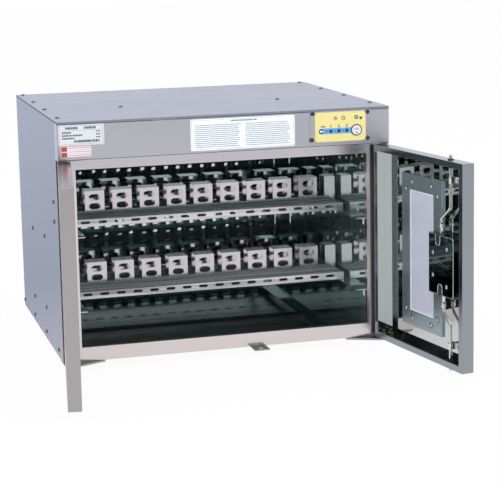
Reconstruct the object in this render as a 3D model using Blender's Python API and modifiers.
"""Stainless steel ultraviolet sterilizer cabinet: two swinging doors, two slide-out clip racks.

Metres, +Z up, front at -Y. The origin is the centre of the base plate's pressed underside.
The doors are modelled closed, each under an empty on its hinge axis, and stand open at rest.
"""
import math

import bmesh
import bpy
from mathutils import Matrix, Quaternion, Vector

# Overall body
body_width = 0.600
body_depth = 0.510
body_height = 0.428
panel_sheet = 0.0012
liner_sheet = 0.0010
touch_gap = 0.0003
cut_overrun = 0.004
flange_width = 0.018
press_drop = 0.0010
press_side_inset = 0.110
press_end_inset = 0.085

# Header box above the doors
header_height = 0.0665
header_overhang = 0.0255
header_return = 0.032
top_lip = 0.004

# Front frame and cavity
jamb_width = 0.034
sill_height = 0.025
strip_height = 0.0205
frame_return = 0.012
rear_space = 0.098
floor_drop = 0.0035

# Doors
door_thickness = 0.0225
door_skin = 0.0010
door_lip = 0.011
door_side_gap = 0.0008
door_centre_gap = 0.0014
door_bottom_gap = 0.0020
door_top_gap = 0.0035
pivot_from_edge = 0.0080
pivot_from_face = 0.0085
left_open_degrees = 98.37
right_open_degrees = 99.21

# Hinges
hinge_plate = 0.0030
upper_hinge_plate = 0.0020
hinge_plate_width = 0.074
hinge_plate_depth = 0.060
hinge_nose = 0.016
pin_radius = 0.0030
pin_length = 0.014
bush_wall = 0.0020
bush_length = 0.0060
bush_flange = 0.0030
running_gap = 0.0001

# Door windows
frame_edge_share = 0.2345
frame_free_edge_share = 0.3166
frame_from_top = 0.043
frame_bottom_offset = 0.041
frame_border = 0.027
frame_thickness = 0.0035
glass_thickness = 0.0020
glass_overlap = 0.010

# Latch
case_overlap = 0.020
spindle_from_case = 0.0328
case_width = 0.080
case_height = 0.105
case_depth = 0.0105
case_sheet = 0.0010
spindle_height = 0.1745
spindle_radius = 0.0040
spindle_clearance = 0.0005
pinion_teeth = 10
pinion_pitch_radius = 0.0064
pinion_width = 0.0050
pressure_angle = math.radians(20.0)
tooth_width_share = 0.40
pinion_addendum_share = 0.80
rack_addendum_share = 0.60
dedendum_share = 1.10
tooth_bar = 0.0036
rod_radius = 0.0030
rod_clearance = 0.0006
rod_depth = 0.0105
rod_protrusion = 0.0085
rod_inner_offset = 0.0035
rod_outer_offset = 0.0260
rod_block_height = 0.008
upper_bend_low = 0.253
upper_bend_high = 0.275
lower_bend_high = 0.094
lower_bend_low = 0.075
bend_radius = 0.010
bend_steps = 3
latch_turn_degrees = 90.0
guide_width = 0.016
guide_height = 0.010
guide_cover = 0.0025
guide_from_end = 0.035
keeper_width = 0.028
keeper_depth = 0.060
keeper_sheet = 0.0020
keeper_hole_radius = 0.0050

# Latch handle
rose_radius = 0.023
rose_height = 0.0030
hub_radius = 0.011
hub_height = 0.024
lever_length = 0.080
lever_width = 0.018
lever_thickness = 0.008
lever_bevel = 0.0030

# Racks
upper_rack_share = 0.6598
lower_rack_share = 0.2413
rack_front = 0.141
rack_depth = 0.254
rack_side_gap = 0.0064
rack_sheet = 0.0010
rack_lip = 0.0134
clip_row_front = 0.190
clip_row_pitch = 0.110
clip_depth = 0.032
clip_height = 0.044
clip_band = 0.0065
clip_sheet = 0.0010
slot_pitch = 0.0514
slot_width = 0.0147
slot_count = 10
clip_hole_length = 0.022
clip_hole_height = 0.011
clip_hole_top_share = 0.277
clip_hole_low_share = 0.660
lip_hole_length = 0.018
lip_hole_height = 0.0050
lip_hole_depth_share = 0.42
lip_hole_pitch = 0.031
lip_hole_count = 16
drain_hole_length = 0.020
drain_hole_width = 0.010
rail_width = 0.016
rail_drop = 0.012
rail_sheet = 0.0015
rail_end_gap = 0.007

# Feet
foot_height = 0.016
foot_radius = 0.015
foot_taper = 0.002
foot_side_inset = 0.070
foot_front_inset = 0.130
foot_rear_inset = 0.050

# Control panel
plate_width = 0.112
plate_height = 0.056
plate_side_inset = 0.0365
plate_bottom_offset = 0.0065
membrane_rise = 0.0020
plate_thickness = 0.0012
membrane_width = 0.0950
membrane_height = 0.0440
membrane_corner = 0.0060
membrane_thickness = 0.0006
button_radius = 0.0085
button_cover = 0.0016
button_travel = 0.0012
button_flange = 0.0015
button_from_right = 0.0175
control_row_height = 0.0122
lamp_radius = 0.0026
lamp_cover = 0.0010
lamp_centres_from_right = (0.0356, 0.0506, 0.0656)
board_width = 0.100
board_height = 0.046
board_thickness = 0.0016
board_stand_off = 0.0100

# Lamps and electrical parts
tube_radius = 0.0128
tube_end_room = 0.008
tube_cap_length = 0.012
tube_cap_extra = 0.0004
tube_window_margin = 0.040
tube_window_width = 0.046
tube_above_ceiling = 0.016
lamp_depth_share = 0.42
holder_length = 0.018
holder_width = 0.030
reflector_height = 0.036
reflector_sheet = 0.0008
reflector_foot = 0.008
ballast_length = 0.150
ballast_width = 0.040
ballast_height = 0.032
ballast_ear = 0.012
ballast_ear_sheet = 0.0020
ballast_clearance = 0.008
starter_radius = 0.0105
starter_height = 0.036
terminal_length = 0.076
terminal_width = 0.022
terminal_height = 0.018
terminal_ways = 6
terminal_slot = 0.0050
gland_radius = 0.010
gland_body = 0.018
gland_bore = 0.0045
gland_side_inset = 0.060
gland_level = 0.070
vent_length = 0.050
vent_height = 0.006
vent_pitch = 0.016
vent_count = 5
magnet_length = 0.030
magnet_height = 0.008
magnet_depth = 0.0050
switch_length = 0.022
magnet_from_free_edge = 0.045

# Shape steps
round_sides = 16
hole_sides = 12
handle_sides = 24
slot_end_steps = 3
small_slot_steps = 2
weld_distance = 0.00002

# Derived positions of the body
left_x = -body_width / 2
right_x = body_width / 2
front_y = -body_depth / 2
back_y = body_depth / 2
header_bottom = body_height - header_height
frame_y = front_y + header_overhang
frame_back_y = frame_y + panel_sheet
opening_half = body_width / 2 - jamb_width
opening_top = header_bottom - strip_height
cavity_back_y = back_y - rear_space
liner_front_y = frame_y + frame_return + touch_gap
liner_floor_z = sill_height - floor_drop
rear_sheet_y = back_y - panel_sheet
tube_window_length = 2 * (opening_half - tube_window_margin)
tube_length = tube_window_length - 2 * tube_end_room

# Derived positions of the doors
door_width = (body_width - 2 * door_side_gap - door_centre_gap) / 2
door_bottom = door_bottom_gap
door_top = header_bottom - door_top_gap
frame_edge_offset = frame_edge_share * door_width
frame_width = door_width - frame_edge_offset - frame_free_edge_share * door_width
frame_height = door_top - frame_from_top - door_bottom - frame_bottom_offset
pivot_x = body_width / 2 - door_side_gap - pivot_from_edge
pivot_y = front_y + pivot_from_face
case_left = frame_edge_offset + frame_width - case_overlap
case_bottom = spindle_height - case_height / 2
spindle_u = case_left + spindle_from_case
module = 2 * pinion_pitch_radius / pinion_teeth
latch_travel = pinion_pitch_radius * math.radians(latch_turn_degrees)

scene_parts = None
scene_cutters = None


def clear_scene():
    """Remove every object that the scene holds."""
    for item in list(bpy.data.objects):
        bpy.data.objects.remove(item, do_unlink=True)


def new_collection(name):
    """Make a collection and link it to the scene."""
    group = bpy.data.collections.new(name)
    bpy.context.scene.collection.children.link(group)
    return group


def finish(name, colour, roughness, metallic):
    """Make a Principled material."""
    material = bpy.data.materials.new(name)
    material.use_nodes = True
    shader = material.node_tree.nodes["Principled BSDF"]
    shader.inputs["Base Color"].default_value = (*colour, 1.0)
    shader.inputs["Roughness"].default_value = roughness
    shader.inputs["Metallic"].default_value = metallic
    material.diffuse_color = (*colour, 1.0)
    return material


def empty(name, location, turn=0.0, parent=None):
    """Make an empty that carries the pieces of one moving body."""
    item = bpy.data.objects.new(name, None)
    item.location = location
    item.rotation_euler = (0.0, 0.0, turn)
    item.parent = parent
    scene_parts.objects.link(item)
    return item


def place(bm, name, material, location=(0.0, 0.0, 0.0), parent=None, outward=True):
    """Turn a bmesh into a named object of the part."""
    if outward:
        bmesh.ops.recalc_face_normals(bm, faces=bm.faces)
    mesh = bpy.data.meshes.new(name)
    bm.to_mesh(mesh)
    bm.free()
    mesh.materials.append(material)
    item = bpy.data.objects.new(name, mesh)
    item.location = location
    item.parent = parent
    scene_parts.objects.link(item)
    return item


def cutter(bm, name, target):
    """Turn a bmesh into a hidden cutter that stands where its target stands."""
    bmesh.ops.recalc_face_normals(bm, faces=bm.faces)
    mesh = bpy.data.meshes.new(name)
    bm.to_mesh(mesh)
    bm.free()
    item = bpy.data.objects.new(name, mesh)
    item.parent = target.parent
    item.hide_render = True
    item.display_type = "WIRE"
    scene_cutters.objects.link(item)
    return item


def boolean(target, other, operation):
    """Add an exact Boolean modifier."""
    step = target.modifiers.new(operation.lower(), "BOOLEAN")
    step.operation = operation
    step.solver = "EXACT"
    step.object = other


def cut(target, bm):
    """Cut a bmesh out of a piece."""
    boolean(target, cutter(bm, target.name + "_cutter", target), "DIFFERENCE")


def join(target, bm):
    """Join a bmesh to a piece as one body."""
    boolean(target, cutter(bm, target.name + "_joined", target), "UNION")


def thicken(item, thickness, offset=-1.0):
    """Give an open surface its sheet thickness, inwards by default."""
    step = item.modifiers.new("sheet", "SOLIDIFY")
    step.thickness = thickness
    step.offset = offset
    step.use_even_offset = True


def add_box(bm, low, high):
    """Add a box between two corners."""
    low = Vector(low)
    high = Vector(high)
    size = high - low
    scale = Matrix.Diagonal((abs(size.x), abs(size.y), abs(size.z), 1.0))
    made = bmesh.ops.create_cube(bm, size=1.0, matrix=Matrix.Translation((low + high) / 2) @ scale)
    return made["verts"]


def add_cylinder(bm, radius, start, end, sides=round_sides, end_radius=None):
    """Add a cylinder or cone between two points."""
    start = Vector(start)
    end = Vector(end)
    axis = end - start
    turn = axis.to_track_quat("Z", "X").to_matrix().to_4x4()
    middle = Matrix.Translation((start + end) / 2)
    bmesh.ops.create_cone(bm, cap_ends=True, segments=sides, radius1=radius,
                          radius2=radius if end_radius is None else end_radius,
                          depth=axis.length, matrix=middle @ turn)


def add_prism(bm, outline, move):
    """Add a prism: an outline of points, extruded by a vector."""
    face = bm.faces.new([bm.verts.new(point) for point in outline])
    made = bmesh.ops.extrude_face_region(bm, geom=[face])
    verts = [item for item in made["geom"] if isinstance(item, bmesh.types.BMVert)]
    bmesh.ops.translate(bm, verts=verts, vec=Vector(move))
    return verts


def obround(length, height, centre_x, centre_z, steps=slot_end_steps):
    """Points of a slot with round ends, in the plane of x and z."""
    radius = height / 2
    reach = length / 2 - radius
    points = []
    for end, start_angle in ((1, -math.pi / 2), (-1, math.pi / 2)):
        for step in range(steps + 1):
            angle = start_angle + math.pi * step / steps
            points.append((centre_x + end * reach + radius * math.cos(angle),
                           centre_z + radius * math.sin(angle)))
    return points


def add_obround_y(bm, length, height, centre_x, centre_z, low_y, high_y, steps=slot_end_steps):
    """Add a slot-shaped prism that runs along y."""
    outline = [(x, low_y, z) for x, z in obround(length, height, centre_x, centre_z, steps)]
    add_prism(bm, outline, (0.0, high_y - low_y, 0.0))


def strip_surface(bm, profile, along, start, length):
    """Extrude an open profile of points along an axis, as one bent sheet."""
    move = Vector((0.0, 0.0, 0.0))
    move[along] = length
    edges = []
    verts = []
    for point in profile:
        spot = Vector(point)
        spot[along] = start
        verts.append(bm.verts.new(spot))
    for first, second in zip(verts[:-1], verts[1:]):
        edges.append(bm.edges.new((first, second)))
    made = bmesh.ops.extrude_edge_only(bm, edges=edges)
    moved = [item for item in made["geom"] if isinstance(item, bmesh.types.BMVert)]
    bmesh.ops.translate(bm, verts=moved, vec=move)


def open_pan_surface(low, high, open_axis, open_side, lip=0.0):
    """A folded pan as an open surface: a box without one face, with an optional return lip."""
    bm = bmesh.new()
    add_box(bm, low, high)
    limit = high[open_axis] if open_side > 0 else low[open_axis]
    tiny = touch_gap / 10
    lid = [face for face in bm.faces
           if all(abs(vert.co[open_axis] - limit) < tiny for vert in face.verts)]
    bmesh.ops.recalc_face_normals(bm, faces=bm.faces)
    bmesh.ops.delete(bm, geom=lid, context="FACES_ONLY")
    if lip > 0.0:
        rim = [edge for edge in bm.edges if edge.is_boundary]
        made = bmesh.ops.extrude_edge_only(bm, edges=rim)
        verts = [item for item in made["geom"] if isinstance(item, bmesh.types.BMVert)]
        middle = (Vector(low) + Vector(high)) / 2
        for vert in verts:
            for axis in range(3):
                if axis != open_axis:
                    vert.co[axis] -= math.copysign(lip, vert.co[axis] - middle[axis])
        bmesh.ops.recalc_face_normals(bm, faces=bm.faces)
    return bm


def turned(name, profile, material, location, parent=None, axis="Z", sides=round_sides):
    """A turned solid: a profile of radius and height, run round an axis with Screw."""
    bm = bmesh.new()
    verts = [bm.verts.new((radius, 0.0, height)) for radius, height in profile]
    closed = list(zip(verts, verts[1:] + verts[:1]))
    for first, second in closed:
        if first.co.x == 0.0 and second.co.x == 0.0:
            continue
        bm.edges.new((first, second))
    mesh = bpy.data.meshes.new(name)
    bm.to_mesh(mesh)
    bm.free()
    mesh.materials.append(material)
    item = bpy.data.objects.new(name, mesh)
    item.location = location
    item.parent = parent
    if axis == "Y":
        item.rotation_euler = (math.pi / 2, 0.0, 0.0)
    scene_parts.objects.link(item)
    step = item.modifiers.new("turn", "SCREW")
    step.steps = sides
    step.render_steps = sides
    step.use_merge_vertices = True
    step.merge_threshold = weld_distance
    step.use_smooth_shade = False
    return item


def sheet_box(name, low, high, material, parent=None):
    """A flat sheet or block between two corners, with its origin at its centre."""
    middle = (Vector(low) + Vector(high)) / 2
    bm = bmesh.new()
    add_box(bm, Vector(low) - middle, Vector(high) - middle)
    return place(bm, name, material, location=middle, parent=parent)


# The outer body

def build_top_panel(steel):
    """Top panel with a folded lip over the header's front edge."""
    bm = bmesh.new()
    profile = [(0.0, front_y, body_height - top_lip), (0.0, front_y, body_height),
               (0.0, back_y, body_height)]
    strip_surface(bm, profile, 0, left_x, body_width)
    item = place(bm, "top_panel", steel, outward=False)
    thicken(item, panel_sheet, sheet_side(item, (0.0, 0.0, 1.0)))
    return item


def sheet_side(item, outside):
    """Solidify offset that puts the thickness on the side away from a direction."""
    widest = max(item.data.polygons, key=lambda face: face.area * abs(face.normal.dot(Vector(outside))))
    return -1.0 if widest.normal.dot(Vector(outside)) > 0 else 1.0


def build_side_panel(name, side, steel):
    """Side panel with flanges folded in at the front, the top and the back."""
    outer_x = side * body_width / 2
    front = frame_back_y + touch_gap
    back = rear_sheet_y - touch_gap
    top = body_height - panel_sheet - touch_gap
    bm = bmesh.new()
    add_box(bm, (min(outer_x, outer_x - side * flange_width), front, 0.0),
            (max(outer_x, outer_x - side * flange_width), back, top))
    inner_x = outer_x - side * flange_width
    gone = []
    for face in bm.faces:
        centre = face.calc_center_median()
        if abs(centre.x - inner_x) < touch_gap or centre.z < touch_gap:
            gone.append(face)
    bmesh.ops.delete(bm, geom=gone, context="FACES_ONLY")
    item = place(bm, name, steel, outward=False)
    thicken(item, panel_sheet, sheet_side(item, (side, 0.0, 0.0)))
    return item


def build_back_panel(steel):
    """Back panel with a row of vent slots and the hole of the cable gland."""
    item = sheet_box("back_panel", (left_x, rear_sheet_y, 0.0),
                     (right_x, back_y, body_height - panel_sheet - touch_gap), steel)
    bm = bmesh.new()
    for row in range(vent_count):
        level = header_bottom - row * vent_pitch
        add_obround_y(bm, vent_length, vent_height, 0.0, level,
                      rear_sheet_y - cut_overrun, back_y + cut_overrun)
    gland_x = right_x - gland_side_inset
    add_cylinder(bm, gland_radius, (gland_x, rear_sheet_y - cut_overrun, gland_level),
                 (gland_x, back_y + cut_overrun, gland_level))
    cut(item, bm)
    return item


def build_base_plate(steel):
    """Base plate: side flanges folded up, and a shallow panel pressed down to stiffen it."""
    half = body_width / 2 - panel_sheet - touch_gap
    top = sill_height - floor_drop - liner_sheet - touch_gap
    bm = bmesh.new()
    profile = [(-half, 0.0, top), (-half, 0.0, press_drop), (half, 0.0, press_drop), (half, 0.0, top)]
    front = frame_back_y + panel_sheet + 2 * touch_gap
    back = rear_sheet_y - panel_sheet - 2 * touch_gap
    strip_surface(bm, profile, 1, front, back - front)
    item = place(bm, "base_plate", steel, outward=False)
    thicken(item, panel_sheet, sheet_side(item, (0.0, 0.0, -1.0)))
    press_x = body_width / 2 - press_side_inset
    press_y = body_depth / 2 - press_end_inset
    bm = bmesh.new()
    add_box(bm, (-press_x, -press_y, 0.0), (press_x, press_y, press_drop + panel_sheet / 2))
    join(item, bm)
    bm = bmesh.new()
    add_box(bm, (panel_sheet - press_x, panel_sheet - press_y, panel_sheet),
            (press_x - panel_sheet, press_y - panel_sheet, press_drop + panel_sheet + cut_overrun))
    cut(item, bm)
    return item


def build_header(steel):
    """Header box in front of the frame: front, two returns and the underside over the doors."""
    top = body_height - panel_sheet - touch_gap
    front_top = body_height - top_lip - touch_gap
    bm = bmesh.new()
    add_box(bm, (left_x, front_y, header_bottom), (right_x, frame_back_y, front_top))
    gone = [face for face in bm.faces
            if face.calc_center_median().z > front_top - touch_gap
            or face.calc_center_median().y > frame_back_y - touch_gap]
    bmesh.ops.delete(bm, geom=gone, context="FACES_ONLY")
    item = place(bm, "header_panel", steel, outward=False)
    thicken(item, panel_sheet, sheet_side(item, (0.0, -1.0, 0.0)))
    bm = bmesh.new()
    inside = front_y + panel_sheet + touch_gap
    for side in (-1, 1):
        edge = side * body_width / 2
        inner = edge - side * panel_sheet
        add_box(bm, (min(edge, inner), inside, front_top - panel_sheet),
                (max(edge, inner), frame_back_y, top))
    add_box(bm, (left_x + flange_width, frame_y, header_bottom),
            (right_x - flange_width, frame_y + header_return - flange_width,
             header_bottom + panel_sheet))
    join(item, bm)
    bm = bmesh.new()
    strike_x = latch_rod_x()
    add_cylinder(bm, keeper_hole_radius, (strike_x, front_y + rod_depth, header_bottom - cut_overrun),
                 (strike_x, front_y + rod_depth, header_bottom + panel_sheet + cut_overrun))
    row_z = control_row_z()
    through = (front_y - cut_overrun, front_y + panel_sheet + cut_overrun)
    add_cylinder(bm, button_radius + touch_gap, (button_x(), through[0], row_z),
                 (button_x(), through[1], row_z))
    for lamp_x in indicator_places():
        add_cylinder(bm, lamp_radius + touch_gap, (lamp_x, through[0], row_z),
                     (lamp_x, through[1], row_z), sides=hole_sides)
    cut(item, bm)
    return item


def latch_rod_x():
    """Place across the cabinet of the latch rods' ends, with the doors closed."""
    rod_u = spindle_u + rod_outer_offset
    return body_width / 2 - door_side_gap - rod_u


def build_front_frame(steel):
    """Front frame: sill, jambs and top strip as one sheet, with returns folded into the cavity."""
    top = header_bottom - touch_gap
    item = sheet_box("front_frame", (left_x, frame_y, 0.0), (right_x, frame_back_y, top), steel)
    outer = opening_half + panel_sheet
    bm = bmesh.new()
    add_box(bm, (-outer, frame_back_y - panel_sheet / 2, sill_height - panel_sheet),
            (outer, frame_y + frame_return, opening_top + panel_sheet))
    other = cutter(bm, "front_frame_returns", item)
    other.location = (0.0, 0.0, 0.0)
    boolean(item, other, "UNION")
    bm = bmesh.new()
    add_box(bm, (-opening_half, frame_y - cut_overrun, sill_height),
            (opening_half, frame_y + frame_return + cut_overrun, opening_top))
    cut(item, bm)
    return item


def build_hinges(steel):
    """Hinge plates with their pins: one under the body and one under the header on each side."""
    plate_top = header_bottom - touch_gap
    plate_bottom = plate_top - upper_hinge_plate
    for name, side in (("left", -1), ("right", 1)):
        edge = side * (body_width / 2 - door_side_gap)
        nose = edge - side * hinge_nose
        wide = edge - side * hinge_plate_width
        pin_x = side * pivot_x
        outline = [(edge, front_y + door_side_gap), (nose, front_y + door_side_gap),
                   (wide, frame_y), (wide, front_y + hinge_plate_depth),
                   (edge, front_y + hinge_plate_depth)]
        bm = bmesh.new()
        add_prism(bm, [(x, y, -touch_gap) for x, y in outline], (0.0, 0.0, -hinge_plate))
        item = place(bm, "lower_" + name + "_hinge", steel)
        pin = bmesh.new()
        add_cylinder(pin, pin_radius, (pin_x, pivot_y, -touch_gap - hinge_plate / 2),
                     (pin_x, pivot_y, pin_length))
        join(item, pin)
        outline = [(edge, front_y + door_side_gap), (nose, front_y + door_side_gap),
                   (wide, frame_y - touch_gap), (edge, frame_y - touch_gap)]
        bm = bmesh.new()
        add_prism(bm, [(x, y, plate_bottom) for x, y in outline], (0.0, 0.0, upper_hinge_plate))
        item = place(bm, "upper_" + name + "_hinge", steel)
        pin = bmesh.new()
        add_cylinder(pin, pin_radius, (pin_x, pivot_y, plate_bottom + upper_hinge_plate / 2),
                     (pin_x, pivot_y, door_top - pin_length))
        join(item, pin)


def build_keeper(steel):
    """Keeper plate under the sill, with the hole that takes the lower latch rod."""
    x = latch_rod_x()
    item = sheet_box("rod_keeper", (x - keeper_width / 2, front_y, -touch_gap - keeper_sheet),
                     (x + keeper_width / 2, front_y + keeper_depth, -touch_gap), steel)
    bm = bmesh.new()
    add_cylinder(bm, keeper_hole_radius, (x, front_y + rod_depth, -keeper_sheet - cut_overrun),
                 (x, front_y + rod_depth, cut_overrun))
    cut(item, bm)
    return item


def build_feet(rubber):
    """Four tapered rubber feet."""
    across = (("left", left_x + foot_side_inset), ("right", right_x - foot_side_inset))
    along = (("front", front_y + foot_front_inset), ("rear", back_y - foot_rear_inset))
    for along_name, y in along:
        for across_name, x in across:
            bm = bmesh.new()
            add_cylinder(bm, foot_radius - foot_taper, (0.0, 0.0, -foot_height), (0.0, 0.0, 0.0),
                         end_radius=foot_radius)
            place(bm, "foot_" + along_name + "_" + across_name, rubber,
                  location=(x, y, press_drop - touch_gap))


# The cavity

def build_liner(mirror):
    """Five mirror-finished sheets that line the cavity."""
    back = cavity_back_y
    wall_top = opening_top - touch_gap
    floor = bmesh.new()
    floor_half = opening_half - touch_gap
    low = press_drop + panel_sheet + touch_gap
    profile = [(-floor_half, 0.0, low), (-floor_half, 0.0, liner_floor_z),
               (floor_half, 0.0, liner_floor_z), (floor_half, 0.0, low)]
    front = frame_back_y + panel_sheet + 2 * touch_gap
    strip_surface(floor, profile, 1, front, back - front)
    item = place(floor, "liner_floor", mirror, outward=False)
    thicken(item, liner_sheet, sheet_side(item, (0.0, 0.0, 1.0)))
    for name, side in (("liner_left_wall", -1), ("liner_right_wall", 1)):
        inner = side * opening_half
        outer = inner + side * liner_sheet
        wall = sheet_box(name, (min(inner, outer), liner_front_y, low),
                         (max(inner, outer), back, wall_top), mirror)
        rails = bmesh.new()
        for _, level in rack_levels():
            add_rail(rails, side, level - rack_lip - touch_gap)
        join(wall, rails)
    sheet_box("liner_back_wall", (-opening_half - liner_sheet, back + touch_gap, low),
              (opening_half + liner_sheet, back + touch_gap + liner_sheet, wall_top), mirror)
    ceiling = sheet_box("liner_ceiling", (-opening_half - liner_sheet, liner_front_y, opening_top),
                        (opening_half + liner_sheet, back + touch_gap + liner_sheet,
                         opening_top + liner_sheet), mirror)
    bm = bmesh.new()
    add_box(bm, (-tube_window_length / 2, lamp_y() - tube_window_width / 2, opening_top - cut_overrun),
            (tube_window_length / 2, lamp_y() + tube_window_width / 2,
             opening_top + liner_sheet + cut_overrun))
    cut(ceiling, bm)


def lamp_y():
    """Place of the lamp between the front frame and the back wall."""
    return frame_y + lamp_depth_share * (cavity_back_y - frame_y)


def rack_levels():
    """Tray surface heights of the upper and the lower rack."""
    room = opening_top - liner_floor_z
    return (("upper", liner_floor_z + upper_rack_share * room),
            ("lower", liner_floor_z + lower_rack_share * room))


def add_rail(bm, side, seat):
    """Add an angle rail, welded to a wall of the liner, that a rack's side lip slides on."""
    wall = side * (opening_half + liner_sheet / 2)
    edge = side * (opening_half - rail_width)
    back = side * (opening_half - rail_sheet)
    outline = [(wall, seat), (edge, seat), (edge, seat - rail_sheet), (back, seat - rail_sheet),
               (back, seat - rail_drop), (wall, seat - rail_drop)]
    start = liner_front_y + rail_end_gap
    length = cavity_back_y - rail_end_gap - start
    add_prism(bm, [(x, start, z) for x, z in outline], (0.0, length, 0.0))


def build_rack(prefix, level, mirror):
    """One slide-out rack: a tray with drain holes and a pierced lip, and two rows of slotted clips."""
    half = opening_half - rack_side_gap
    tray_front = front_y + rack_front
    holder = empty(prefix + "_rack_slide", (0.0, tray_front, level))
    bm = open_pan_surface((-half, 0.0, -rack_lip), (half, rack_depth, 0.0), 2, -1)
    tray = place(bm, prefix + "_rack_tray", mirror, parent=holder, outward=False)
    thicken(tray, rack_sheet, sheet_side(tray, (0.0, 0.0, 1.0)))
    bm = bmesh.new()
    for index in range(lip_hole_count):
        x = (index - (lip_hole_count - 1) / 2) * lip_hole_pitch
        add_obround_y(bm, lip_hole_length, lip_hole_height, x, -lip_hole_depth_share * rack_lip,
                      -cut_overrun, rack_sheet + cut_overrun, small_slot_steps)
        outline = obround(drain_hole_length, drain_hole_width, x, rack_depth / 2, small_slot_steps)
        add_prism(bm, [(along, back, -rack_sheet - cut_overrun) for along, back in outline],
                  (0.0, 0.0, rack_sheet + 2 * cut_overrun))
    cut(tray, bm)
    rows = (("front", clip_row_front - rack_front), ("rear", clip_row_front - rack_front + clip_row_pitch))
    for row, row_y in rows:
        build_clip_row(prefix + "_rack_" + row + "_clips", holder, row_y, half, mirror)


def build_clip_row(name, holder, row_y, half, mirror):
    """A row of clips: an inverted channel, cut across by slots and pierced by pairs of holes."""
    low = touch_gap
    high = touch_gap + clip_height
    back_y_row = row_y + clip_depth
    bm = bmesh.new()
    profile = [(0.0, row_y, low), (0.0, row_y, high), (0.0, back_y_row, high), (0.0, back_y_row, low)]
    strip_surface(bm, profile, 0, -half, 2 * half)
    item = place(bm, name, mirror, parent=holder, outward=False)
    thicken(item, clip_sheet, sheet_side(item, (0.0, 0.0, 1.0)))
    bm = bmesh.new()
    for x in slot_places():
        add_box(bm, (x - slot_width / 2, row_y - cut_overrun, low + clip_band),
                (x + slot_width / 2, back_y_row + cut_overrun, high + cut_overrun))
    blocks = [x + slot_pitch / 2 for x in slot_places()[:-1]]
    for x in blocks:
        for share in (clip_hole_top_share, clip_hole_low_share):
            add_obround_y(bm, clip_hole_length, clip_hole_height, x, high - share * clip_height,
                          row_y - cut_overrun, back_y_row + cut_overrun)
    cut(item, bm)
    return item


def slot_places():
    """Places across the rack of the clip slots."""
    return [(index - (slot_count - 1) / 2) * slot_pitch for index in range(slot_count)]


# The doors

def door_point(side, u, v, z):
    """A point of a door: u from its hinge edge, v from its outer face, z from the base plate."""
    return (-side * (u - pivot_from_edge), v - pivot_from_face, z)


def door_box(bm, side, low, high):
    """A box given by door distances."""
    first = Vector(door_point(side, *low))
    second = Vector(door_point(side, *high))
    add_box(bm, [min(a, b) for a, b in zip(first, second)], [max(a, b) for a, b in zip(first, second)])


def door_round(bm, side, radius, start, end, sides=round_sides):
    """A cylinder given by door distances."""
    add_cylinder(bm, radius, door_point(side, *start), door_point(side, *end), sides)


def build_door(prefix, side, angle, has_latch, finishes):
    """One door: folded pan, window frame, glass, magnet and bushes, on its hinge axis."""
    holder = empty(prefix + "_door_hinge", (side * pivot_x, pivot_y, 0.0), side * math.radians(angle))
    low = door_point(side, 0.0, 0.0, door_bottom)
    high = door_point(side, door_width, door_thickness, door_top)
    bm = open_pan_surface([min(a, b) for a, b in zip(low, high)],
                          [max(a, b) for a, b in zip(low, high)], 1, 1, lip=door_lip)
    pan = place(bm, prefix + "_door_pan", finishes["steel"], parent=holder, outward=False)
    thicken(pan, door_skin, sheet_side(pan, (0.0, -1.0, 0.0)))
    window_low = frame_bottom_offset + door_bottom + frame_border
    window_left = frame_edge_offset + frame_border
    window_right = frame_edge_offset + frame_width - frame_border
    window_high = window_low + frame_height - 2 * frame_border
    bm = bmesh.new()
    door_box(bm, side, (window_left, -cut_overrun, window_low),
             (window_right, door_skin + cut_overrun, window_high))
    bush_radius = pin_radius + running_gap + bush_wall
    for z in (door_bottom, door_top):
        door_round(bm, side, bush_radius + touch_gap,
                   (pivot_from_edge, pivot_from_face, z - door_skin - cut_overrun),
                   (pivot_from_edge, pivot_from_face, z + door_skin + cut_overrun))
    if has_latch:
        rod_u = spindle_u + rod_outer_offset
        for z in (door_bottom, door_top):
            door_round(bm, side, rod_radius + rod_clearance, (rod_u, rod_depth, z - 2 * cut_overrun),
                       (rod_u, rod_depth, z + 2 * cut_overrun), sides=hole_sides)
        door_round(bm, side, spindle_radius + spindle_clearance, (spindle_u, -cut_overrun, spindle_height),
                   (spindle_u, door_skin + cut_overrun, spindle_height), sides=hole_sides)
    cut(pan, bm)
    build_window(prefix, side, holder, window_left, window_right, window_low, window_high, finishes)
    build_bushes(prefix, side, holder, finishes["brass"])
    inner_v = door_thickness - door_skin - touch_gap
    top_z = door_top - door_skin - touch_gap
    bm = bmesh.new()
    magnet_u = door_width - magnet_from_free_edge
    door_box(bm, side, (magnet_u, inner_v - magnet_depth, top_z - magnet_height),
             (magnet_u + magnet_length, inner_v, top_z))
    place(bm, prefix + "_door_magnet", finishes["dark"], parent=holder)
    return holder


def build_window(prefix, side, holder, left, right, low, high, finishes):
    """Glass pane behind the skin, and the rebated frame that clamps it."""
    seat = door_skin + touch_gap
    pane_front = seat
    pane_back = seat + glass_thickness
    bm = bmesh.new()
    door_box(bm, side, (left - glass_overlap, pane_front, low - glass_overlap),
             (right + glass_overlap, pane_back, high + glass_overlap))
    place(bm, prefix + "_door_glass", finishes["glass"], parent=holder)
    bm = bmesh.new()
    door_box(bm, side, (left - frame_border, seat, low - frame_border),
             (right + frame_border, seat + frame_thickness, high + frame_border))
    frame = place(bm, prefix + "_window_frame", finishes["steel"], parent=holder)
    rebate = glass_overlap + touch_gap
    bm = bmesh.new()
    door_box(bm, side, (left - rebate, seat - cut_overrun, low - rebate),
             (right + rebate, pane_back + touch_gap, high + rebate))
    cut(frame, bm)
    bm = bmesh.new()
    door_box(bm, side, (left, seat - cut_overrun, low), (right, seat + frame_thickness + cut_overrun, high))
    cut(frame, bm)


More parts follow.
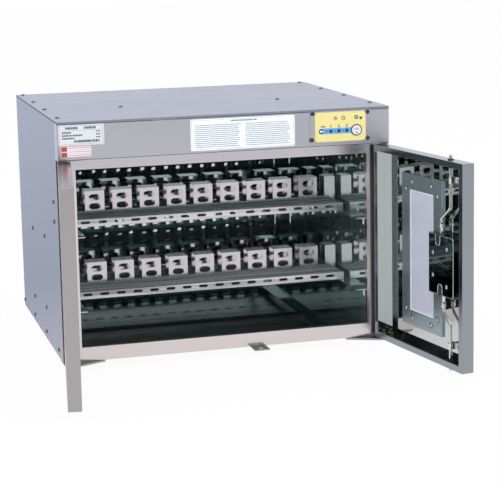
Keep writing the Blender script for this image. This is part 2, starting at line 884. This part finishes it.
def build_bushes(prefix, side, holder, brass):
    """Two flanged bushes of a door, round the hinge pins."""
    inner = pin_radius + running_gap
    outer = inner + bush_wall
    flange = outer + bush_flange
    plate_top = header_bottom - touch_gap - upper_hinge_plate
    ends = (("lower", door_bottom, -1, door_bottom + touch_gap),
            ("upper", door_top, 1, plate_top - door_top))
    for name, z, out, room in ends:
        thick = room - 2 * touch_gap
        near = z + out * touch_gap
        bm = bmesh.new()
        door_round(bm, side, flange, (pivot_from_edge, pivot_from_face, near),
                   (pivot_from_edge, pivot_from_face, near + out * thick), sides=hole_sides)
        item = place(bm, prefix + "_" + name + "_bush", brass, parent=holder)
        bm = bmesh.new()
        door_round(bm, side, outer, (pivot_from_edge, pivot_from_face, near + out * thick / 2),
                   (pivot_from_edge, pivot_from_face, z - out * bush_length), sides=hole_sides)
        join(item, bm)
        bm = bmesh.new()
        door_round(bm, side, inner, (pivot_from_edge, pivot_from_face, z - 2 * bush_length),
                   (pivot_from_edge, pivot_from_face, z + 2 * bush_length))
        cut(item, bm)


# The latch of the right door

def pinion_outline():
    """Points of the pinion: involute flanks above the base circle, radial roots below it."""
    addendum = pinion_addendum_share * module
    root = pinion_pitch_radius - dedendum_share * module
    outer = pinion_pitch_radius + addendum
    base = pinion_pitch_radius * math.cos(pressure_angle)
    half_tooth = math.pi * tooth_width_share / pinion_teeth
    at_pitch = math.tan(pressure_angle) - pressure_angle

    def half_angle(radius):
        if radius <= base:
            return half_tooth + at_pitch
        alpha = math.acos(base / radius)
        return half_tooth + at_pitch - (math.tan(alpha) - alpha)

    radii = (root, base, pinion_pitch_radius, outer)
    points = []
    for tooth in range(pinion_teeth):
        centre = 2 * math.pi * tooth / pinion_teeth
        for radius in radii:
            points.append((radius, centre - half_angle(radius)))
        for radius in reversed(radii):
            points.append((radius, centre + half_angle(radius)))
    return [(radius * math.cos(angle), radius * math.sin(angle)) for radius, angle in points]


def rod_path(points):
    """A route of straight runs with round bends, as points."""
    route = [Vector(points[0])]
    for before, corner, after in zip(points[:-2], points[1:-1], points[2:]):
        before, corner, after = Vector(before), Vector(corner), Vector(after)
        into = (before - corner).normalized()
        out = (after - corner).normalized()
        half = into.angle(out) / 2
        reach = bend_radius / math.tan(half)
        centre = corner + (into + out).normalized() * (bend_radius / math.sin(half))
        first = corner + into * reach - centre
        last = corner + out * reach - centre
        turn = first.rotation_difference(last)
        for step in range(bend_steps + 1):
            route.append(centre + Quaternion().slerp(turn, step / bend_steps) @ first)
    route.append(Vector(points[-1]))
    return route


def rod_curve(name, points, material, parent):
    """A round rod along a route, made a mesh with welded caps."""
    curve = bpy.data.curves.new(name, "CURVE")
    curve.dimensions = "3D"
    curve.bevel_depth = rod_radius
    curve.bevel_resolution = 2
    curve.use_fill_caps = True
    line = curve.splines.new("POLY")
    line.points.add(len(points) - 1)
    for spot, point in zip(line.points, points):
        spot.co = (*point, 1.0)
    source = bpy.data.objects.new(name + "_curve", curve)
    source.parent = parent
    scene_parts.objects.link(source)
    bpy.context.view_layer.update()
    evaluated = source.evaluated_get(bpy.context.evaluated_depsgraph_get())
    mesh = bpy.data.meshes.new_from_object(evaluated)
    bm = bmesh.new()
    bm.from_mesh(mesh)
    bmesh.ops.remove_doubles(bm, verts=bm.verts, dist=weld_distance)
    bpy.data.objects.remove(source, do_unlink=True)
    return place(bm, name, material, parent=parent)


def build_rod(name, side, up, holder, steel):
    """A latch rod: a toothed bar at the pinion, a block, and a round rod with an offset bend."""
    toward = -up
    inner_u = spindle_u + toward * rod_inner_offset
    outer_u = spindle_u + rod_outer_offset
    bend_near = upper_bend_low if up > 0 else lower_bend_high
    bend_far = upper_bend_high if up > 0 else lower_bend_low
    tip = door_top + rod_protrusion if up > 0 else door_bottom - rod_protrusion
    tip_ring = pinion_pitch_radius + pinion_addendum_share * module
    block_near = spindle_height + up * (tip_ring + latch_travel + module)
    block_far = block_near + up * rod_block_height
    slide = empty(name + "_slide", door_point(side, outer_u, rod_depth, spindle_height), 0.0, holder)
    shift = Vector(door_point(side, outer_u, rod_depth, spindle_height))
    stations = [(inner_u, block_far - up * rod_block_height / 2), (inner_u, bend_near),
                (outer_u, bend_far), (outer_u, tip)]
    points = [Vector(door_point(side, u, rod_depth, z)) - shift for u, z in stations]
    rod = rod_curve(name, rod_path(points), steel, slide)
    root_gap = pinion_pitch_radius + dedendum_share * module
    bar_in = spindle_u + toward * root_gap
    bar_out = bar_in + toward * tooth_bar
    half_width = pinion_width / 2
    bar_end = spindle_height - up * (tip_ring + module)
    bm = bmesh.new()
    block_u = (min(bar_out, inner_u + rod_radius, inner_u - rod_radius),
               max(bar_out, inner_u + rod_radius, inner_u - rod_radius))
    door_box(bm, side, (block_u[0], rod_depth - half_width, min(block_near, block_far)),
             (block_u[1], rod_depth + half_width, max(block_near, block_far)))
    bmesh.ops.translate(bm, verts=bm.verts, vec=-shift)
    join(rod, bm)
    outline = tooth_bar_outline(side, up, bar_in, bar_out, bar_end, block_near + up * module)
    bm = bmesh.new()
    add_prism(bm, [(x, rod_depth - pivot_from_face - half_width, z) for x, z in outline],
              (0.0, pinion_width, 0.0))
    bmesh.ops.translate(bm, verts=bm.verts, vec=-shift)
    join(rod, bm)
    return rod


def tooth_bar_outline(side, up, bar_in, bar_out, bar_end, bar_start):
    """Outline of a toothed bar: a straight back and trapezoid teeth that face the pinion."""
    tooth_pitch = 2 * math.pi * pinion_pitch_radius / pinion_teeth
    line_u = spindle_u + math.copysign(pinion_pitch_radius, bar_in - spindle_u)
    toward = math.copysign(1.0, bar_in - spindle_u)
    tip_u = line_u - toward * rack_addendum_share * module
    half_line = tooth_width_share * tooth_pitch / 2
    lean = math.tan(pressure_angle)
    half_tip = half_line - rack_addendum_share * module * lean
    half_root = half_line + dedendum_share * module * lean
    travel_teeth = math.ceil((latch_travel / tooth_pitch) + 1)
    low = min(bar_end, bar_start)
    high = max(bar_end, bar_start)
    points = [(bar_out, low), (bar_in, low)]
    for index in range(-travel_teeth - 1, travel_teeth + 1):
        middle = spindle_height + (index + 0.5) * tooth_pitch
        if middle - half_root < low + touch_gap or middle + half_root > high - touch_gap:
            continue
        points.append((bar_in, middle - half_root))
        points.append((tip_u, middle - half_tip))
        points.append((tip_u, middle + half_tip))
        points.append((bar_in, middle + half_root))
    points.append((bar_in, high))
    points.append((bar_out, high))
    return [(door_point(side, u, 0.0, z)[0], z) for u, z in points]


def build_latch(side, holder, finishes):
    """Turning handle, spindle with pinion, two rods, their guides and the case."""
    centre = door_point(side, spindle_u, 0.0, spindle_height)
    turn = empty("latch_handle_turn", centre, 0.0, holder)
    hub_top = -rose_height - 2 * touch_gap
    outer_face = -hub_height
    build_handle(turn, hub_top, outer_face, finishes["bright"])
    bm = bmesh.new()
    pinion_low = rod_depth - pinion_width / 2
    add_prism(bm, [(x, pinion_low, z) for x, z in pinion_outline()], (0.0, pinion_width, 0.0))
    spindle = place(bm, "latch_spindle", finishes["brass"], parent=turn)
    bm = bmesh.new()
    add_cylinder(bm, spindle_radius, (0.0, outer_face + lever_thickness, 0.0),
                 (0.0, rod_depth + pinion_width / 2 + touch_gap, 0.0), sides=hole_sides)
    join(spindle, bm)
    rose = bmesh.new()
    door_round(rose, side, rose_radius, (spindle_u, -rose_height - touch_gap, spindle_height),
               (spindle_u, -touch_gap, spindle_height), sides=handle_sides)
    rose_item = place(rose, "handle_escutcheon", finishes["steel"], parent=holder)
    bm = bmesh.new()
    door_round(bm, side, spindle_radius + spindle_clearance,
               (spindle_u, -rose_height - cut_overrun, spindle_height),
               (spindle_u, cut_overrun, spindle_height), sides=hole_sides)
    cut(rose_item, bm)
    build_rod("upper_rod", side, 1, holder, finishes["bright"])
    build_rod("lower_rod", side, -1, holder, finishes["bright"])
    build_case(side, holder, finishes)
    build_guides(side, holder, finishes["steel"])


def build_handle(turn, near, far, bright):
    """Lever handle: a hub on the spindle and a bevelled lever that hangs down when locked."""
    bm = bmesh.new()
    add_cylinder(bm, hub_radius, (0.0, far, 0.0), (0.0, near, 0.0), sides=handle_sides)
    item = place(bm, "latch_handle", bright, parent=turn)
    lever = bmesh.new()
    lever_face = far - lever_bevel
    add_box(lever, (-lever_width / 2, lever_face, hub_radius - lever_length),
            (lever_width / 2, lever_face + lever_thickness, hub_radius))
    bmesh.ops.bevel(lever, geom=lever.edges[:], offset=lever_bevel, segments=2, affect="EDGES",
                    profile=0.5)
    join(item, lever)
    bm = bmesh.new()
    add_cylinder(bm, spindle_radius + touch_gap, (0.0, far + lever_thickness - touch_gap, 0.0),
                 (0.0, near + cut_overrun, 0.0), sides=hole_sides)
    cut(item, bm)
    return item


def build_case(side, holder, finishes):
    """Latch case: a five-sided cover over the pinion, cut away over the window frame."""
    seat = door_skin + touch_gap
    face = rod_depth + case_depth - rod_radius
    low = (case_left, seat, case_bottom)
    high = (case_left + case_width, face, case_bottom + case_height)
    first = door_point(side, *low)
    second = door_point(side, *high)
    bm = open_pan_surface([min(a, b) for a, b in zip(first, second)],
                          [max(a, b) for a, b in zip(first, second)], 1, -1)
    case = place(bm, "latch_case", finishes["steel"], parent=holder, outward=False)
    thicken(case, case_sheet, sheet_side(case, (0.0, 1.0, 0.0)))
    bm = bmesh.new()
    frame_right = frame_edge_offset + frame_width + touch_gap
    door_box(bm, side, (case_left - cut_overrun, seat - cut_overrun, case_bottom - cut_overrun),
             (frame_right, seat + frame_thickness + touch_gap, case_bottom + case_height + cut_overrun))
    cut(case, bm)
    bm = bmesh.new()
    top = case_bottom + case_height
    door_round(bm, side, rod_radius + rod_clearance,
               (spindle_u - rod_inner_offset, rod_depth, top - cut_overrun),
               (spindle_u - rod_inner_offset, rod_depth, top + cut_overrun), sides=hole_sides)
    door_round(bm, side, rod_radius + rod_clearance,
               (spindle_u + rod_inner_offset, rod_depth, case_bottom - cut_overrun),
               (spindle_u + rod_inner_offset, rod_depth, case_bottom + cut_overrun), sides=hole_sides)
    cut(case, bm)


def build_guides(side, holder, steel):
    """Two guide blocks on the skin, each with a hole that a rod slides through."""
    seat = door_skin + touch_gap
    rod_u = spindle_u + rod_outer_offset
    for name, middle in (("upper", door_top - guide_from_end), ("lower", door_bottom + guide_from_end)):
        bm = bmesh.new()
        door_box(bm, side, (rod_u - guide_width / 2, seat, middle - guide_height / 2),
                 (rod_u + guide_width / 2, rod_depth + rod_radius + guide_cover, middle + guide_height / 2))
        item = place(bm, name + "_rod_guide", steel, parent=holder)
        bm = bmesh.new()
        door_round(bm, side, rod_radius + touch_gap, (rod_u, rod_depth, middle - guide_height),
                   (rod_u, rod_depth, middle + guide_height), sides=hole_sides)
        cut(item, bm)


# Controls in the header

def control_right():
    """Right edge of the operating panel."""
    return right_x - plate_side_inset - (plate_width - membrane_width) / 2


def membrane_low():
    """Lower edge of the operating panel."""
    return header_bottom + plate_bottom_offset + (plate_height - membrane_height) / 2 + membrane_rise


def control_row_z():
    """Height of the row that holds the button and the indicator lamps."""
    return membrane_low() + control_row_height


def button_x():
    """Place across the header of the start button."""
    return control_right() - button_from_right


def indicator_places():
    """Places across the header of the indicator lamps."""
    return [control_right() - offset for offset in lamp_centres_from_right]


def rounded_rectangle(low_x, high_x, low_z, high_z, radius):
    """Points of a rectangle with round corners."""
    corners = ((high_x - radius, high_z - radius, 0.0), (low_x + radius, high_z - radius, 0.5),
               (low_x + radius, low_z + radius, 1.0), (high_x - radius, low_z + radius, 1.5))
    points = []
    for x, z, turn in corners:
        for step in range(slot_end_steps + 1):
            angle = math.pi * (turn + 0.5 * step / slot_end_steps)
            points.append((x + radius * math.cos(angle), z + radius * math.sin(angle)))
    return points


def build_controls(finishes):
    """Control plate, operating panel, start button, and the board that carries the lamps."""
    plate_high_x = right_x - plate_side_inset
    plate_low_x = plate_high_x - plate_width
    plate_low_z = header_bottom + plate_bottom_offset
    plate_high_z = plate_low_z + plate_height
    plate_y = front_y - touch_gap - plate_thickness
    plate = sheet_box("control_plate", (plate_low_x, plate_y, plate_low_z),
                      (plate_high_x, front_y - touch_gap, plate_high_z), finishes["steel"])
    row_z = control_row_z()
    front = plate_y - touch_gap - membrane_thickness
    outline = rounded_rectangle(control_right() - membrane_width, control_right(), membrane_low(),
                                membrane_low() + membrane_height, membrane_corner)
    bm = bmesh.new()
    add_prism(bm, [(x, front, z) for x, z in outline], (0.0, membrane_thickness, 0.0))
    membrane = place(bm, "membrane_panel", finishes["yellow"])
    for item in (plate, membrane):
        bm = bmesh.new()
        add_cylinder(bm, button_radius + touch_gap, (button_x(), front - cut_overrun, row_z),
                     (button_x(), front_y, row_z))
        for lamp_x in indicator_places():
            add_cylinder(bm, lamp_radius + touch_gap, (lamp_x, front - cut_overrun, row_z),
                         (lamp_x, front_y, row_z), sides=hole_sides)
        cut(item, bm)
    build_button(row_z, front, finishes["white"])
    board_front = front_y + panel_sheet + board_stand_off
    middle_x = (plate_low_x + plate_high_x) / 2
    middle_z = (plate_low_z + plate_high_z) / 2
    board = sheet_box("control_board",
                      (middle_x - board_width / 2, board_front, middle_z - board_height / 2),
                      (middle_x + board_width / 2, board_front + board_thickness,
                       middle_z + board_height / 2), finishes["green"])
    bm = bmesh.new()
    for lamp_x in indicator_places():
        add_cylinder(bm, lamp_radius, (lamp_x, front - lamp_cover, row_z),
                     (lamp_x, board_front + board_thickness / 2, row_z), sides=hole_sides)
    join(board, bm)


def build_button(row_z, membrane_front, white):
    """Start button: a round cap through the panel, with a flange behind the header's sheet."""
    front = membrane_front - button_cover
    flange_front = front_y + panel_sheet + touch_gap
    flange_back = flange_front + button_flange
    stem_back = front_y + panel_sheet + board_stand_off - button_travel - touch_gap
    slide = empty("start_button_slide", (button_x(), front, row_z))
    bm = bmesh.new()
    add_cylinder(bm, button_radius, (0.0, 0.0, 0.0), (0.0, flange_back - front, 0.0))
    item = place(bm, "start_button", white, parent=slide)
    bm = bmesh.new()
    add_cylinder(bm, button_radius + button_flange, (0.0, flange_front - front, 0.0),
                 (0.0, flange_back - front, 0.0))
    join(item, bm)
    bm = bmesh.new()
    add_cylinder(bm, button_radius / 2, (0.0, flange_front - front, 0.0),
                 (0.0, stem_back - front, 0.0))
    join(item, bm)
    return item


# Electrical parts

def build_lamp(finishes):
    """Ultraviolet lamp over the ceiling's window, and the reflector with its two holders."""
    y = lamp_y()
    ceiling_top = opening_top + liner_sheet
    axis_z = ceiling_top + tube_above_ceiling
    half = tube_length / 2
    bm = bmesh.new()
    add_cylinder(bm, tube_radius, (-half, y, axis_z), (half, y, axis_z))
    tube = place(bm, "uv_lamp", finishes["lamp"])
    bm = bmesh.new()
    for side in (-1, 1):
        end = side * half
        add_cylinder(bm, tube_radius + tube_cap_extra, (end - side * tube_cap_length, y, axis_z),
                     (end + side * touch_gap, y, axis_z))
    join(tube, bm)
    low = ceiling_top + touch_gap
    high = ceiling_top + reflector_height
    inner = tube_window_width / 2
    foot = inner + reflector_foot
    profile = [(0.0, y - foot, low), (0.0, y - inner, low), (0.0, y - inner, high),
               (0.0, y + inner, high), (0.0, y + inner, low), (0.0, y + foot, low)]
    bm = bmesh.new()
    strip_surface(bm, profile, 0, -opening_half, 2 * opening_half)
    item = place(bm, "lamp_reflector", finishes["mirror"], outward=False)
    thicken(item, reflector_sheet, -sheet_side(item, (0.0, 0.0, 1.0)))
    bm = bmesh.new()
    for side in (-1, 1):
        near = side * (half + 2 * touch_gap)
        far = near + side * holder_length
        add_box(bm, (min(near, far), y - holder_width / 2, axis_z - tube_radius),
                (max(near, far), y + holder_width / 2, high + reflector_sheet / 2))
    join(item, bm)


def build_rear(finishes):
    """Ballast, starter and terminal block on the base plate behind the cavity."""
    seat = press_drop + panel_sheet + touch_gap
    rear_front = cavity_back_y + liner_sheet + 2 * touch_gap
    rear_back = rear_sheet_y - panel_sheet - 2 * touch_gap
    middle_y = (rear_front + rear_back) / 2
    x = -terminal_length / 2 - ballast_clearance - ballast_ear - ballast_length / 2
    bm = bmesh.new()
    add_box(bm, (x - ballast_length / 2, middle_y - ballast_width / 2, seat),
            (x + ballast_length / 2, middle_y + ballast_width / 2, seat + ballast_height))
    item = place(bm, "ballast", finishes["dark"])
    bm = bmesh.new()
    add_box(bm, (x - ballast_length / 2 - ballast_ear, middle_y - ballast_width / 2, seat),
            (x + ballast_length / 2 + ballast_ear, middle_y + ballast_width / 2,
             seat + ballast_ear_sheet))
    join(item, bm)
    bm = bmesh.new()
    add_cylinder(bm, starter_radius, (0.0, 0.0, 0.0), (0.0, 0.0, starter_height))
    place(bm, "starter", finishes["white"], location=(0.0, middle_y - terminal_width, seat))
    block_y = middle_y + terminal_width
    block = sheet_box("terminal_block", (-terminal_length / 2, block_y - terminal_width / 2, seat),
                      (terminal_length / 2, block_y + terminal_width / 2, seat + terminal_height),
                      finishes["white"])
    bm = bmesh.new()
    for way in range(terminal_ways):
        x = (way - (terminal_ways - 1) / 2) * terminal_length / terminal_ways
        add_box(bm, (x - terminal_slot / 2, block_y - terminal_width, seat + terminal_height / 2),
                (x + terminal_slot / 2, block_y + terminal_width, seat + terminal_height + cut_overrun))
    cut(block, bm)
    build_gland(finishes["dark"])


def build_gland(dark):
    """Cable gland in the back panel: a turned ring with a flange on each side of the sheet."""
    x = right_x - gland_side_inset
    collar = gland_radius - touch_gap
    wide = gland_radius + button_flange
    inner_face = panel_sheet + touch_gap
    profile = ((gland_bore, gland_body / 2), (wide, gland_body / 2), (wide, touch_gap),
               (collar, touch_gap), (collar, -inner_face), (wide, -inner_face),
               (wide, -gland_body / 2), (gland_bore, -gland_body / 2))
    item = turned("cable_gland", profile, dark, (x, back_y, gland_level), axis="Y")
    item.rotation_euler = (-math.pi / 2, 0.0, 0.0)
    return item


def build_sensors(finishes):
    """Reed switch of the right door and holding magnet of the left door, behind the top strip."""
    front = frame_back_y + touch_gap
    top_z = door_top - door_skin - touch_gap
    u = door_width - magnet_from_free_edge
    for name, side, length in (("catch_magnet", -1, magnet_length), ("reed_switch", 1, switch_length)):
        near = body_width / 2 - door_side_gap - u
        far = near - length
        sheet_box(name, (min(side * near, side * far), front, top_z - magnet_height),
                  (max(side * near, side * far), front + magnet_depth, top_z), finishes["dark"])


def build():
    """Build the whole cabinet."""
    global scene_parts, scene_cutters
    clear_scene()
    scene_parts = new_collection("sterilizer_cabinet")
    scene_cutters = new_collection("cutters")
    finishes = {
        "steel": finish("brushed_steel", (0.60, 0.58, 0.60), 0.38, 1.0),
        "bright": finish("bright_steel", (0.75, 0.74, 0.75), 0.20, 1.0),
        "mirror": finish("mirror_steel", (0.42, 0.45, 0.44), 0.08, 1.0),
        "glass": finish("window_glass", (0.70, 0.70, 0.95), 0.05, 0.0),
        "brass": finish("bearing_brass", (0.72, 0.53, 0.25), 0.35, 1.0),
        "yellow": finish("panel_yellow", (0.90, 0.72, 0.20), 0.45, 0.0),
        "white": finish("white_plastic", (0.85, 0.85, 0.85), 0.40, 0.0),
        "dark": finish("dark_plastic", (0.05, 0.05, 0.06), 0.50, 0.0),
        "green": finish("circuit_board", (0.05, 0.25, 0.12), 0.50, 0.0),
        "lamp": finish("lamp_glass", (0.88, 0.88, 0.90), 0.15, 0.0),
        "rubber": finish("black_rubber", (0.03, 0.03, 0.03), 0.80, 0.0),
    }
    steel = finishes["steel"]
    mirror = finishes["mirror"]
    build_top_panel(steel)
    build_side_panel("left_side_panel", -1, steel)
    build_side_panel("right_side_panel", 1, steel)
    build_back_panel(steel)
    build_base_plate(steel)
    build_header(steel)
    build_front_frame(steel)
    build_hinges(steel)
    build_keeper(steel)
    build_feet(finishes["rubber"])
    build_liner(mirror)
    for prefix, level in rack_levels():
        build_rack(prefix, level, mirror)
    build_door("left", -1, left_open_degrees, False, finishes)
    right_holder = build_door("right", 1, right_open_degrees, True, finishes)
    build_latch(1, right_holder, finishes)
    build_controls(finishes)
    build_lamp(finishes)
    build_rear(finishes)
    build_sensors(finishes)


build()
